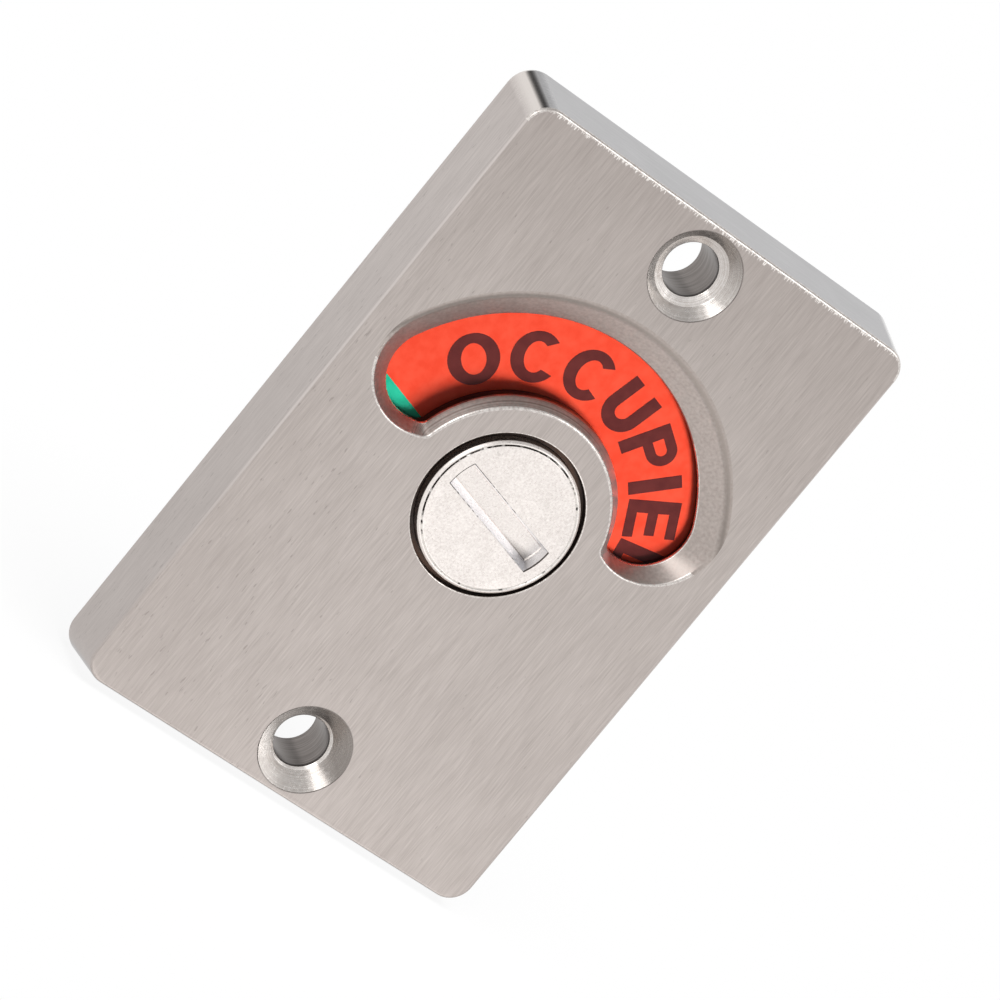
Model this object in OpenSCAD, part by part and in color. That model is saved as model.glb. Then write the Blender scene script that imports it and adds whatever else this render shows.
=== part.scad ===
// Outside half of a toilet indicator bolt: a drafted plate with a sloped window, a coin turn,
// and a red and green sign that turns with it. Upright as on a door, front facing -Y,
// origin on the turn's axis in the plane of the door.

/* [Face plate] */
// Width of the plate at the door
plate_w = 46.9; // [45:0.1:56]
// Lean-in of each long side between the door and the face
side_draft = 0.4; // [0.2:0.05:1]
// Lean-in of each end between the door and the face
end_draft = 0.85; // [0.2:0.05:2]
// Corner radius at the door
corner_r = 2.6; // [2:0.1:5]
// How much smaller the corner radius is at the face
corner_draft = 0.2; // [0:0.1:1]
// Chamfer that breaks the edge round the face
edge_break = 0.25; // [0.1:0.05:0.5]
// Upright band at the foot of the sides
foot_h = 0.4; // [0.2:0.1:1]
// Thickness of the wall in front of the sign
front_wall = 2.3; // [1.8:0.1:3.5]
// Wall left beside the cover's rebate
side_wall = 1.75; // [1:0.05:2.5]
// Ledge under the cover at the middle of each side
cover_ledge = 1.1; // [0.6:0.1:2]

/* [Fixing holes] */
// Clear diameter of a fixing hole
fixing_d = 5.4; // [4:0.1:6]
// Diameter of its countersink at the face
countersink_d = 9.1; // [7:0.1:11]
// Metal between the countersink and the end of the face
fixing_land = 0.6; // [0.3:0.1:4]
// Metal between the countersink and the window
fixing_web = 2.3; // [1:0.1:10]

/* [Window] */
// How far the front wall laps over the rim of the disc
window_lap = 0.6; // [0.4:0.1:2]
// Width of the slope along the outer arc
outer_slope = 2.55; // [1.5:0.05:3.2]
// Width of the slope along the inner arc
inner_slope = 0.85; // [0.3:0.05:1.5]
// Upright land under the slopes of the outer arc and the ends
window_land = 0.55; // [0.2:0.05:1.5]
// Upright land under the slope of the inner arc
inner_land = 1.15; // [0.2:0.05:1.5]
// Metal between the turn's bore and the window at the face
window_web = 2.55; // [1.8:0.05:4]
// Angle of the round ends above the horizontal, at the face
end_angle_face = 30.5; // [25:0.1:45]
// Angle of the round ends above the horizontal, at the opening
end_angle_opening = 28.5; // [22:0.1:42]
// Extra radius of the round ends over half the window's width, at the face
end_swell_face = 0.725; // [0.3:0.025:1.2]
// Extra radius of the round ends over half the window's width, at the opening
end_swell_opening = 0.625; // [0.3:0.025:1]
// Fillet of the inner corners at the face
corner_fillet_face = 0.9; // [0.5:0.1:2]
// Fillet of the inner corners at the opening
corner_fillet_opening = 0.9; // [0.4:0.1:1.5]

/* [Turn] */
// Diameter of the coin turn
turn_d = 15.6; // [14:0.1:18]
// Open gap round the turn at the face
turn_gap = 0.55; // [0.3:0.05:0.8]
// How far the turn stands proud of the face
turn_proud = 0.55; // [0:0.05:1]
// Chamfer round the turn's rim
turn_chamfer = 0.4; // [0.1:0.05:0.6]
// Length of the coin slot
slot_l = 12.3; // [8:0.1:13]
// Width of the coin slot at the turn's face
slot_w = 2.86; // [2:0.02:3.5]
// Depth of the coin slot
slot_depth = 1.6; // [1:0.05:1.8]
// Lean of each long wall of the coin slot over its depth
slot_draft = 0.4; // [0:0.05:0.6]
// Metal between the coin slot and the spindle socket
turn_web = 1.15; // [0.6:0.05:2]
// Diameter of the journal in the rear bush
journal_d = 9.9; // [8.6:0.1:10.4]
// How far each flat of the driving square lies outside the journal
drive_land = 0.05; // [0.05:0.05:0.3]
// Side of the square socket for the bolt's spindle
socket_w = 5.2; // [4.2:0.1:5.6]
// How far the journal's end lies inside the door face
journal_recess = 0.2; // [0.1:0.05:0.4]
// Turn of the sign between the photographed rest and fully engaged
rest_angle = 16; // [0:1:90]
// Whole travel between the stops
travel = 180; // [90:1:200]

/* [Sign] */
// Thickness of the disc
disc_t = 0.9; // [0.6:0.1:1.5]
// Room between the disc's rim and the pocket
disc_gap = 0.4; // [0.2:0.05:0.8]
// Room between the front wall and the labels
disc_clear = 0.33; // [0.2:0.01:0.6]
// Thickness of a label
label_t = 0.12; // [0.1:0.01:0.3]
// Rim of bare disc outside the labels
label_margin = 0.3; // [0.2:0.05:0.7]
// How far the labels reach in behind the window's inner edge
label_lap = 1.55; // [0.8:0.05:1.8]
// Gap between the two labels
label_split = 0.15; // [0.1:0.05:0.5]

/* [Stops and bearings] */
// Thickness of the cam
cam_t = 0.8; // [0.6:0.1:1.5]
// Metal round the corners of the cam's square hole
cam_rim = 1.5; // [1:0.1:2.5]
// Reach of the cam's lobe past the middle of the pin
lobe_reach = 1.5; // [0.5:0.1:3]
// Diameter of the stop pin
pin_d = 2; // [1.5:0.1:3]
// Room between the pin and the round part of the cam
pin_room = 0.9; // [0.4:0.1:2]
// Room between the pin and the disc
pin_clear = 0.25; // [0.15:0.05:0.4]
// Depth of the bearing bush below the face
bush_depth = 0.9; // [0.5:0.1:1.4]
// Width of the bearing bush's flange
bush_flange = 1.25; // [0.8:0.05:1.8]
// Wall of the rear bush
rear_bush_wall = 1.2; // [0.8:0.1:2]
// Thickness of the retaining clip
clip_t = 0.6; // [0.4:0.05:1]
// Width of the retaining clip's band
clip_band = 1.5; // [1:0.1:2]
// Depth of the clip's groove in the journal
clip_groove = 0.45; // [0.3:0.05:0.6]
// Radius of the clip's two lugs
clip_lug_r = 0.9; // [0.7:0.05:1.2]
// Radius of the hole in each lug
clip_eye_r = 0.45; // [0.3:0.05:0.5]
// Half the angle between the lugs
clip_lug_angle = 25; // [20:1:40]
// Half the angle of the clip's open gap
clip_gap_angle = 17; // [10:1:20]
// Thickness of the thrust washer
washer_t = 0.4; // [0.3:0.05:1]
// Height of the wave washer as fitted
wave_h = 0.95; // [0.6:0.05:2]
// Thickness of the wave washer's strip
wave_t = 0.25; // [0.15:0.05:0.4]
// Width of the wave washer's strip
wave_w = 1.7; // [1:0.1:2]

/* [Cover] */
// Thickness of the cover
cover_t = 1.2; // [1:0.1:2]
// How far the cover lies inside the door face
cover_recess = 0.1; // [0.05:0.05:0.3]
// Room round the cover in its rebate
cover_gap = 0.1; // [0.05:0.05:0.3]
// Corner radius of the rebate
rebate_r = 5; // [4:0.1:6]
// Metal between the pocket and a cover screw
screw_land = 1.75; // [1:0.05:2.5]
// Thread diameter of a cover screw
screw_d = 2.5; // [2:0.1:2.6]
// Head diameter of a cover screw
screw_head_d = 4.7; // [4:0.1:5]
// Length of a cover screw's thread in the plate
screw_bite = 3; // [2:0.1:3.4]
// Length of the cross recess in a screw's head
recess_l = 2.6; // [2:0.1:3]
// Width of the cross recess
recess_w = 0.65; // [0.4:0.05:0.8]
// Depth of the cross recess
recess_depth = 0.6; // [0.3:0.05:0.8]

/* [Fits] */
// Radial clearance of a turning fit
run_fit = 0.05; // [0.03:0.01:0.08]
// Clearance of a seated fit
seat_fit = 0.02; // [0.01:0.01:0.04]
// Clearance round a driving square or a clip in its groove
drive_fit = 0.05; // [0.03:0.01:0.08]
// Clearance of a piece that is held loosely
loose_fit = 0.15; // [0.1:0.01:0.2]

/* [Hidden] */
$fn = 96;
// Overrun of a cut past the surface that it opens
cut = 1;
// Overrun of the window's slopes above the face
slope_over = 0.2;
// Distance over which the land rises toward the window's inner arc
land_run = 1.2;
// Facets of a full circle at the plate's corners
corner_fn = 32;
// Waves round the wave washer, and facets of one wave
waves = 3;
wave_steps = 12;
// Points along one half of the window: outer arc, round end, fillet, inner arc
window_steps = [14, 14, 5, 12];

// Radii, from the side of the plate inwards
rebate_half = plate_w / 2 - side_wall;
cover_half = rebate_half - cover_gap;
pocket_r = rebate_half - cover_ledge;
disc_r = pocket_r - disc_gap;
label_r = disc_r - label_margin;
opening_r = disc_r - window_lap;
window_r = opening_r + outer_slope;
turn_r = turn_d / 2;
bore_r = turn_r + turn_gap;
window_in_r = bore_r + window_web;
opening_in_r = window_in_r + inner_slope;
label_in_r = opening_in_r - label_lap;
journal_r = journal_d / 2;
pin_r = pin_d / 2;
drive_square = journal_d + 2 * drive_land;
cam_r = drive_square / sqrt(2) + cam_rim;
pin_orbit = cam_r + pin_room + pin_r;
lobe_r = pin_orbit + lobe_reach;
screw_place = (pocket_r + screw_land + screw_d / 2) / sqrt(2);

// Heights above the door, from the door outwards
cover_z = cover_recess;
wave_z = cover_z + cover_t;
washer_z = wave_z + wave_h;
clip_z = washer_z + washer_t + run_fit;
cam_z = clip_z + clip_t + drive_fit;
disc_z = cam_z + cam_t;
label_z = disc_z + disc_t;
wall_z = label_z + label_t + disc_clear;
plate_t = wall_z + front_wall;
turn_top = plate_t + turn_proud;
slot_z = turn_top - slot_depth;
socket_top = slot_z - turn_web;

// Height of the plate and place of its fixing holes
fixing_z = window_r + fixing_web + countersink_d / 2;
plate_h = 2 * (fixing_z + countersink_d / 2 + fixing_land + end_draft);

// Stops: the pin stands straight below the axis
pin_angle = 270;
pin_half_angle = asin((pin_r + run_fit) / pin_orbit);
lobe_from = pin_angle + pin_half_angle + travel - rest_angle - 360;
lobe_to = pin_angle - pin_half_angle - rest_angle;

steel = [0.72, 0.7, 0.68];
nickel = [0.82, 0.81, 0.78];
aluminium = [0.78, 0.79, 0.8];
zinc_steel = [0.62, 0.65, 0.68];
spring_steel = [0.4, 0.4, 0.42];
black_plastic = [0.08, 0.08, 0.09];
white_plastic = [0.9, 0.9, 0.87];
sign_red = [0.93, 0.25, 0.16];
sign_green = [0.1, 0.62, 0.43];

// Stands a shape drawn flat on the door upright, with its front facing -Y
module upright() {
    rotate([90, 0, 0]) children();
}

// Turns a shape to the photographed rest, clockwise from fully engaged
module at_rest() {
    rotate([0, 0, -rest_angle]) children();
}

module ring(r_out, r_in, h) {
    linear_extrude(h) difference() {
        circle(r_out);
        circle(r_in);
    }
}

// Square plate with round corners
module round_square(half, r, h) {
    linear_extrude(h) {
        square([2 * half, 2 * (half - r)], center = true);
        square([2 * (half - r), 2 * half], center = true);
        for (x = [-1, 1], y = [-1, 1]) translate([x, y] * (half - r)) circle(r);
    }
}

function arc(centre, r, from, to, steps) =
    [for (i = [1:steps]) let (a = from + (to - from) * i / steps) centre + r * [cos(a), sin(a)]];

// Right half of a window outline, clockwise from its top: outer arc, round end, fillet, inner arc
function half_window(r_out, r_in, end_angle, swell, fillet) =
    let (end_r = (r_out - r_in) / 2 + swell,
        end_place = r_out - end_r,
        end = end_place * [cos(end_angle), sin(end_angle)],
        fillet_place = r_in + fillet,
        reach = end_r - fillet,
        lean = acos((fillet_place ^ 2 + end_place ^ 2 - reach ^ 2) / (2 * fillet_place * end_place)),
        fillet_angle = end_angle - lean,
        corner = fillet_place * [cos(fillet_angle), sin(fillet_angle)],
        meet = atan2(corner.y - end.y, corner.x - end.x))
    concat([[0, r_out]],
        arc([0, 0], r_out, 90, end_angle, window_steps[0]),
        arc(end, end_r, end_angle, meet, window_steps[1]),
        arc(corner, fillet, meet, fillet_angle - 180, window_steps[2]),
        arc([0, 0], r_in, fillet_angle, 90, window_steps[3]));

function whole_window(half) =
    concat(half, [for (i = [len(half) - 2:-1:1]) [-half[i].x, half[i].y]]);

// Solid between rings of points, listed from the lowest ring up, each clockwise seen from above
module loft(rings) {
    n = len(rings[0]);
    sides = [for (k = [0:len(rings) - 2], i = [0:n - 1])
        let (j = (i + 1) % n) each [
            [k * n + i, k * n + j, (k + 1) * n + j],
            [k * n + i, (k + 1) * n + j, (k + 1) * n + i]]];
    bottom = [for (i = [n - 1:-1:0]) i];
    top = [for (i = [0:n - 1]) (len(rings) - 1) * n + i];
    polyhedron([for (r = rings) each r], concat(sides, [bottom, top]), convexity = 6);
}

// Height of the window's land at a point of the opening
function land_at(p) =
    window_land + (inner_land - window_land) * max(0, 1 - (norm(p) - opening_in_r) / land_run);

// Window: sloped sides from the face down to the opening, then upright through the wall
module window_cut() {
    face = whole_window(
        half_window(window_r, window_in_r, end_angle_face, end_swell_face, corner_fillet_face));
    opening = whole_window(
        half_window(opening_r, opening_in_r, end_angle_opening, end_swell_opening, corner_fillet_opening));
    loft([
        [for (p = opening) [p.x, p.y, wall_z - cut]],
        [for (p = opening) [p.x, p.y, wall_z + land_at(p)]],
        [for (i = [0:len(face) - 1])
            let (over = slope_over / (front_wall - land_at(opening[i])),
                p = face[i] + over * (face[i] - opening[i]))
            [p.x, p.y, plate_t + slope_over]]]);
}

module plate_body() {
    face_r = corner_r - corner_draft;
    hull() for (x = [-1, 1], y = [-1, 1]) {
        translate([x * (plate_w / 2 - corner_r), y * (plate_h / 2 - corner_r), 0])
            cylinder(h = foot_h, r = corner_r, $fn = corner_fn);
        translate([x * (plate_w / 2 - side_draft - face_r), y * (plate_h / 2 - end_draft - face_r),
            plate_t - edge_break])
            cylinder(h = edge_break, r1 = face_r, r2 = face_r - edge_break, $fn = corner_fn);
    }
}

module fixing_cut() {
    sink = (countersink_d - fixing_d) / 2;
    translate([0, 0, -cut]) cylinder(h = plate_t + 2 * cut, d = fixing_d);
    translate([0, 0, plate_t - sink]) cylinder(h = sink + cut, d1 = fixing_d, d2 = countersink_d + 2 * cut);
}

module face_plate() {
    color(steel) upright() difference() {
        plate_body();
        translate([0, 0, -cut]) cylinder(h = plate_t + 2 * cut, r = bore_r);
        translate([0, 0, -cut]) cylinder(h = wall_z + cut, r = pocket_r);
        translate([0, 0, -cut]) round_square(rebate_half, rebate_r, wave_z + cut);
        window_cut();
        for (y = [-1, 1]) translate([0, y * fixing_z, 0]) fixing_cut();
        for (x = [-1, 1], y = [-1, 1]) translate([x * screw_place, y * screw_place, 0])
            cylinder(h = wave_z + screw_bite + seat_fit, d = screw_d + 2 * seat_fit);
    }
}

// Flanged bush between the plate's bore and the turn
module bearing_bush() {
    sleeve_r = turn_r + run_fit;
    flange_t = label_t + disc_clear - loose_fit;
    color(black_plastic) upright() {
        translate([0, 0, wall_z - flange_t]) ring(bore_r + bush_flange, sleeve_r, flange_t);
        translate([0, 0, wall_z]) ring(bore_r - seat_fit, sleeve_r, front_wall - bush_depth);
    }
}

module coin_slot() {
    floor_w = slot_w - 2 * slot_draft;
    over_w = slot_w + 2 * slot_draft * cut / slot_depth;
    intersection() {
        rotate([90, 0, 90]) translate([0, slot_z, -slot_l]) linear_extrude(2 * slot_l) polygon([
            [-floor_w / 2, 0], [floor_w / 2, 0],
            [over_w / 2, slot_depth + cut], [-over_w / 2, slot_depth + cut]]);
        translate([0, 0, slot_z]) cylinder(h = slot_depth + cut, d = slot_l);
    }
}

module coin_turn() {
    groove_w = clip_t + drive_fit;
    color(nickel) upright() at_rest() difference() {
        union() {
            translate([0, 0, label_z]) cylinder(h = turn_top - turn_chamfer - label_z, r = turn_r);
            translate([0, 0, turn_top - turn_chamfer])
                cylinder(h = turn_chamfer, r1 = turn_r, r2 = turn_r - turn_chamfer);
            translate([-drive_square / 2, -drive_square / 2, cam_z])
                cube([drive_square, drive_square, label_z - cam_z]);
            translate([0, 0, journal_recess]) cylinder(h = cam_z - journal_recess, r = journal_r);
        }
        coin_slot();
        translate([-socket_w / 2, -socket_w / 2, journal_recess - cut])
            cube([socket_w, socket_w, socket_top - journal_recess + cut]);
        translate([0, 0, clip_z - drive_fit / 2]) ring(journal_r + cut, journal_r - clip_groove, groove_w);
    }
}

module square_hole(h) {
    side = drive_square + 2 * drive_fit;
    translate([-side / 2, -side / 2, -cut]) cube([side, side, h + 2 * cut]);
}

module indicator_disc() {
    color(aluminium) upright() at_rest() translate([0, 0, disc_z]) difference() {
        cylinder(h = disc_t, r = disc_r);
        square_hole(disc_t);
    }
}

// Half ring of label on the upper side of the split
module half_label() {
    translate([0, 0, label_z]) linear_extrude(label_t) difference() {
        circle(label_r);
        circle(label_in_r);
        translate([-label_r - cut, label_split / 2 - 2 * label_r]) square(2 * [label_r + cut, label_r]);
    }
}

module engaged_label() {
    color(sign_red) upright() at_rest() half_label();
}

module vacant_label() {
    color(sign_green) upright() at_rest() rotate([0, 0, 180]) half_label();
}

// Round cam with a lobe that meets the pin at both ends of the travel
module stop_cam() {
    color(zinc_steel) upright() translate([0, 0, cam_z]) difference() {
        union() {
            cylinder(h = cam_t, r = cam_r);
            rotate([0, 0, lobe_from]) rotate_extrude(angle = lobe_to - lobe_from) square([lobe_r, cam_t]);
        }
        at_rest() square_hole(cam_t);
    }
}

module clip_lugs(place, r) {
    for (side = [-1, 1]) rotate(90 + side * clip_lug_angle) translate([place, 0]) circle(r);
}

// Open ring in the journal's groove, with a lug at each end of its gap
module retaining_clip() {
    clip_in_r = journal_r - clip_groove + seat_fit;
    clip_r = clip_in_r + clip_band;
    lug_place = clip_r - clip_lug_r / 2;
    gap = 2 * clip_r * [sin(clip_gap_angle), cos(clip_gap_angle)];
    color(spring_steel) upright() at_rest() translate([0, 0, clip_z]) linear_extrude(clip_t) difference() {
        union() {
            circle(clip_r);
            clip_lugs(lug_place, clip_lug_r);
        }
        circle(clip_in_r);
        polygon([[0, 0], [-gap.x, gap.y], gap]);
        clip_lugs(lug_place, clip_eye_r);
    }
}

module thrust_washer() {
    color(white_plastic) upright() translate([0, 0, washer_z])
        ring(cam_r, journal_r + loose_fit, washer_t);
}

// Spring ring that rises and falls in even waves between the cover and the thrust washer
module wave_washer() {
    n = waves * wave_steps;
    swing = (wave_h - wave_t) / 2 - seat_fit;
    mid = wave_z + wave_h / 2;
    points = [for (i = [0:n - 1]) let (a = 360 * i / n, z = mid + swing * cos(waves * a))
        each [for (c = [[cam_r - wave_w, -1], [cam_r, -1], [cam_r, 1], [cam_r - wave_w, 1]])
            [c[0] * cos(a), c[0] * sin(a), z + c[1] * wave_t / 2]]];
    faces = [for (i = [0:n - 1], k = [0:3])
        let (here = 4 * i, next = 4 * ((i + 1) % n), side = (k + 1) % 4)
        each [[here + k, here + side, next + side], [here + k, next + side, next + k]]];
    color(spring_steel) upright() polyhedron(points, faces, convexity = 4);
}

module rear_bush() {
    inner_r = journal_r + run_fit;
    color(black_plastic) upright() translate([0, 0, cover_z])
        ring(inner_r + rear_bush_wall, inner_r, cover_t);
}

module stop_pin() {
    top = disc_z - pin_clear;
    color(spring_steel) upright() rotate([0, 0, pin_angle]) translate([pin_orbit, 0, cover_z])
        cylinder(h = top - cover_z, r = pin_r);
}

module screw_head(clearance) {
    head_h = (screw_head_d - screw_d) / 2;
    translate([0, 0, cover_z])
        cylinder(h = head_h, d1 = screw_head_d + 2 * clearance, d2 = screw_d + 2 * clearance);
}

module back_cover() {
    bush_r = journal_r + run_fit + rear_bush_wall + seat_fit;
    color(zinc_steel) upright() difference() {
        translate([0, 0, cover_z]) round_square(cover_half, rebate_r - cover_gap, cover_t);
        cylinder(h = wave_z + cut, r = bush_r);
        rotate([0, 0, pin_angle]) translate([pin_orbit, 0, 0])
            cylinder(h = wave_z + cut, r = pin_r + seat_fit);
        for (x = [-1, 1], y = [-1, 1]) translate([x * screw_place, y * screw_place, 0]) {
            cylinder(h = wave_z + cut, d = screw_d + 2 * seat_fit);
            screw_head(seat_fit);
        }
    }
}

// Countersunk screw with a cross recess, numbered from the lower left
module cover_screw(number) {
    x = number % 2 == 1 ? -1 : 1;
    y = number < 3 ? -1 : 1;
    color(zinc_steel) upright() translate([x * screw_place, y * screw_place, 0]) difference() {
        union() {
            screw_head(0);
            translate([0, 0, cover_z]) cylinder(h = cover_t + screw_bite, d = screw_d);
        }
        for (a = [0, 90]) rotate([0, 0, a]) translate([-recess_l / 2, -recess_w / 2, cover_z - cut])
            cube([recess_l, recess_w, recess_depth + cut]);
    }
}

face_plate();
bearing_bush();
coin_turn();
indicator_disc();
engaged_label();
vacant_label();
stop_cam();
retaining_clip();
thrust_washer();
wave_washer();
rear_bush();
stop_pin();
back_cover();
cover_screw(1);  // cover_screw_1
cover_screw(2);  // cover_screw_2
cover_screw(3);  // cover_screw_3
cover_screw(4);  // cover_screw_4
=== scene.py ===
import math

import bmesh
import bpy
from mathutils import Matrix, Vector
from mathutils.geometry import delaunay_2d_cdt


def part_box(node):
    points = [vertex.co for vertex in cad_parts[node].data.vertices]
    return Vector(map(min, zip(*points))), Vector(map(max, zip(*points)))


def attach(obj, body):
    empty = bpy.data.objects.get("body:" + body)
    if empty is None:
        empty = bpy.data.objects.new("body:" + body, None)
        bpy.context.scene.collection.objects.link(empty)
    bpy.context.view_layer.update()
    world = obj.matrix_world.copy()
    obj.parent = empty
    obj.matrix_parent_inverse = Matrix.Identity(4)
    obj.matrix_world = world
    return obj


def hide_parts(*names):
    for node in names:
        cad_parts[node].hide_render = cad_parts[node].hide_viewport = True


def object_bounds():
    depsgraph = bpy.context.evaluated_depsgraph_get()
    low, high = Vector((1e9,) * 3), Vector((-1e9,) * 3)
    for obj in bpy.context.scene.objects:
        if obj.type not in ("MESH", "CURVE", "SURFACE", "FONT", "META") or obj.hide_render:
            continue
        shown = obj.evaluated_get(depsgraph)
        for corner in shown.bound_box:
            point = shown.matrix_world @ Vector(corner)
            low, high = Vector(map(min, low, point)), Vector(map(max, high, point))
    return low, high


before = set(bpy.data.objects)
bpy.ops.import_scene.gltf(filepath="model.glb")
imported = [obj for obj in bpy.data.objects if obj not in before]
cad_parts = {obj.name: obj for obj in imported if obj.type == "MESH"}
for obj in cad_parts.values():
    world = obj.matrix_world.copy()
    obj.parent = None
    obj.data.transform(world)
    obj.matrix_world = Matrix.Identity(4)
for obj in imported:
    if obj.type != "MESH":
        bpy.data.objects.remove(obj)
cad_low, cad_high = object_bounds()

MM = 0.001

# Driving sizes in millimetres, as in the CAD source; the plate's own size comes from the frame
plate_low, plate_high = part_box("face_plate")
PLATE_W = (plate_high.x - plate_low.x) / MM
PLATE_H = (plate_high.z - plate_low.z) / MM
PLATE_T = (plate_high.y - plate_low.y) / MM
SIDE_DRAFT = 0.4
END_DRAFT = 0.85
CORNER_R = 2.6
FACE_CORNER_R = 2.4
FOOT_H = 0.4
FACE_EDGE = 0.3
BACK_EDGE = 0.15
WALL_Z = PLATE_T - 2.3
LEDGE_Z = 1.3
POCKET_R = 20.6
REBATE_HALF = 21.7
REBATE_R = 5.0
BORE_R = 8.35
FIXING_Z = 29.0
FIXING_R = 2.7
COUNTERSINK_R = 4.55
WINDOW_R = 22.15
WINDOW_IN_R = 10.9
OPENING_R = 19.6
OPENING_IN_R = 11.75
# Depth of the window's slopes: along the outer arc and the ends, and along the inner arc
SLOPE_DEPTH = 1.75
INNER_DEPTH = 1.15
LAND_RUN = 1.2
COVER_SCREW = 16.69
COVER_SCREW_R = 1.27
COVER_SCREW_TOP = 4.32

TURN_TOP = -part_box("coin_turn")[0].y / MM
TURN_BACK = -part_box("coin_turn")[1].y / MM
TURN_R = 7.8
LABEL_Z = -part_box("indicator_disc")[0].y / MM
LABEL_TOP = -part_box("engaged_label")[0].y / MM
CAM_Z = -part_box("stop_cam")[1].y / MM
DRIVE_HALF = 5.0
JOURNAL_R = 4.95
GROOVE_R = 4.5
GROOVE_Z = (2.675, 3.325)
SOCKET_HALF = 2.6
SOCKET_TOP = 5.6
# The turn's rim has a finer chamfer here than in the CAD
RIM_EDGE = 0.22
# Ring scored into the turn's face: how far inside the rim, half its width and its depth
SCORE_INSET = 0.2
SCORE_HALF = 0.1
SCORE_DEPTH = 0.12
SLOT_R = 6.15
SLOT_HALF = 1.43
SLOT_FLOOR_HALF = 1.03
SLOT_DEPTH = 1.6
SLOT_ANGLE = 15.0
# The slot's lower wall leans more than its upper one
SLOT_LEAN = 0.15
SLOT_END_LEAN = 0.08
# Easing of the slot's rim and of the foot of its walls, along its sides, at its ends and in depth
SLOT_RIM = (0.07, 0.12, 0.09)
SLOT_FOOT = (0.1, 0.12, 0.1)
REST_ANGLE = 16.0


# Mesh building: shapes are drawn flat on the door, x right, y up, z out, and then stood upright

def upright(p):
    return Vector((p[0], -p[2], p[1])) * MM


def polar(r, degrees, centre=(0.0, 0.0)):
    a = math.radians(degrees)
    return (centre[0] + r * math.cos(a), centre[1] + r * math.sin(a))


def arc(centre, r, start, end, steps):
    return [polar(r, start + (end - start) * i / steps, centre) for i in range(steps + 1)]


def circle(r, steps, centre=(0.0, 0.0)):
    return arc(centre, r, 0.0, 360.0, steps)[:-1]


def round_rect(half_w, half_h, r, steps):
    points = []
    for k, (sx, sy) in enumerate(((1, 1), (-1, 1), (-1, -1), (1, -1))):
        centre = (sx * (half_w - r), sy * (half_h - r))
        points += arc(centre, r, 90.0 * k, 90.0 * (k + 1), steps)
    return points


def at_height(outline, z):
    return [(x, y, z) for x, y in outline]


def bend(p0, p1, p2, steps):
    """Points of a soft corner from p0 to p2, with its tangents meeting at p1."""
    curve = []
    for i in range(steps + 1):
        t = i / steps
        curve.append((1 - t) ** 2 * p0 + 2 * t * (1 - t) * p1 + t * t * p2)
    return curve


def inside(point, outline):
    x, y = point
    hit = False
    for (x0, y0), (x1, y1) in zip(outline, outline[1:] + outline[:1]):
        if (y0 > y) != (y1 > y) and x < x0 + (y - y0) / (y1 - y0) * (x1 - x0):
            hit = not hit
    return hit


class Shell:
    """A closed skin made of strips between rings and of flat caps, welded at the end."""

    def __init__(self):
        self.points = []
        self.faces = []
        self.looks = []

    def add(self, corners, look):
        first = len(self.points)
        self.points += corners
        self.faces.append(range(first, first + len(corners)))
        self.looks.append(look)

    def strip(self, rings, look):
        """Band between rings; the look is one for all of it or a list with one for each column."""
        n = len(rings[0])
        looks = look if isinstance(look, list) else [look] * n
        for low, high in zip(rings, rings[1:]):
            for i in range(n):
                j = (i + 1) % n
                self.add([low[i], low[j], high[j], high[i]], looks[i])

    def cap(self, loops, look):
        """Flat face at one height, bounded by the first loop, with the other loops as holes."""
        z = loops[0][0][2]
        flat = [[(p[0], p[1]) for p in loop] for loop in loops]
        verts, edges = [], []
        for loop in flat:
            first, n = len(verts), len(loop)
            verts += [Vector(p) for p in loop]
            edges += [(first + i, first + (i + 1) % n) for i in range(n)]
        found, _, triangles, *_ = delaunay_2d_cdt(verts, edges, [], 1, 1e-6)
        for tri in triangles:
            middle = tuple(sum(found[i][k] for i in tri) / len(tri) for k in (0, 1))
            if inside(middle, flat[0]) and not any(inside(middle, hole) for hole in flat[1:]):
                self.add([(found[i][0], found[i][1], z) for i in tri], look)

    def build(self, name, materials, sharp_angle=35.0):
        mesh = bpy.data.meshes.new(name)
        mesh.from_pydata([upright(p) for p in self.points], [], [list(f) for f in self.faces])
        mesh.polygons.foreach_set("material_index", self.looks)
        for material in materials:
            mesh.materials.append(material)
        work = bmesh.new()
        work.from_mesh(mesh)
        bmesh.ops.remove_doubles(work, verts=work.verts, dist=2e-3 * MM)
        bmesh.ops.dissolve_degenerate(work, edges=work.edges, dist=1e-4 * MM)
        bmesh.ops.recalc_face_normals(work, faces=work.faces)
        for face in work.faces:
            face.smooth = True
        work.to_mesh(mesh)
        work.free()
        mesh.set_sharp_from_angle(angle=math.radians(sharp_angle))
        piece = bpy.data.objects.new(name, mesh)
        bpy.context.scene.collection.objects.link(piece)
        normals = piece.modifiers.new("normals", "WEIGHTED_NORMAL")
        normals.keep_sharp = True
        return piece


# Materials

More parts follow.
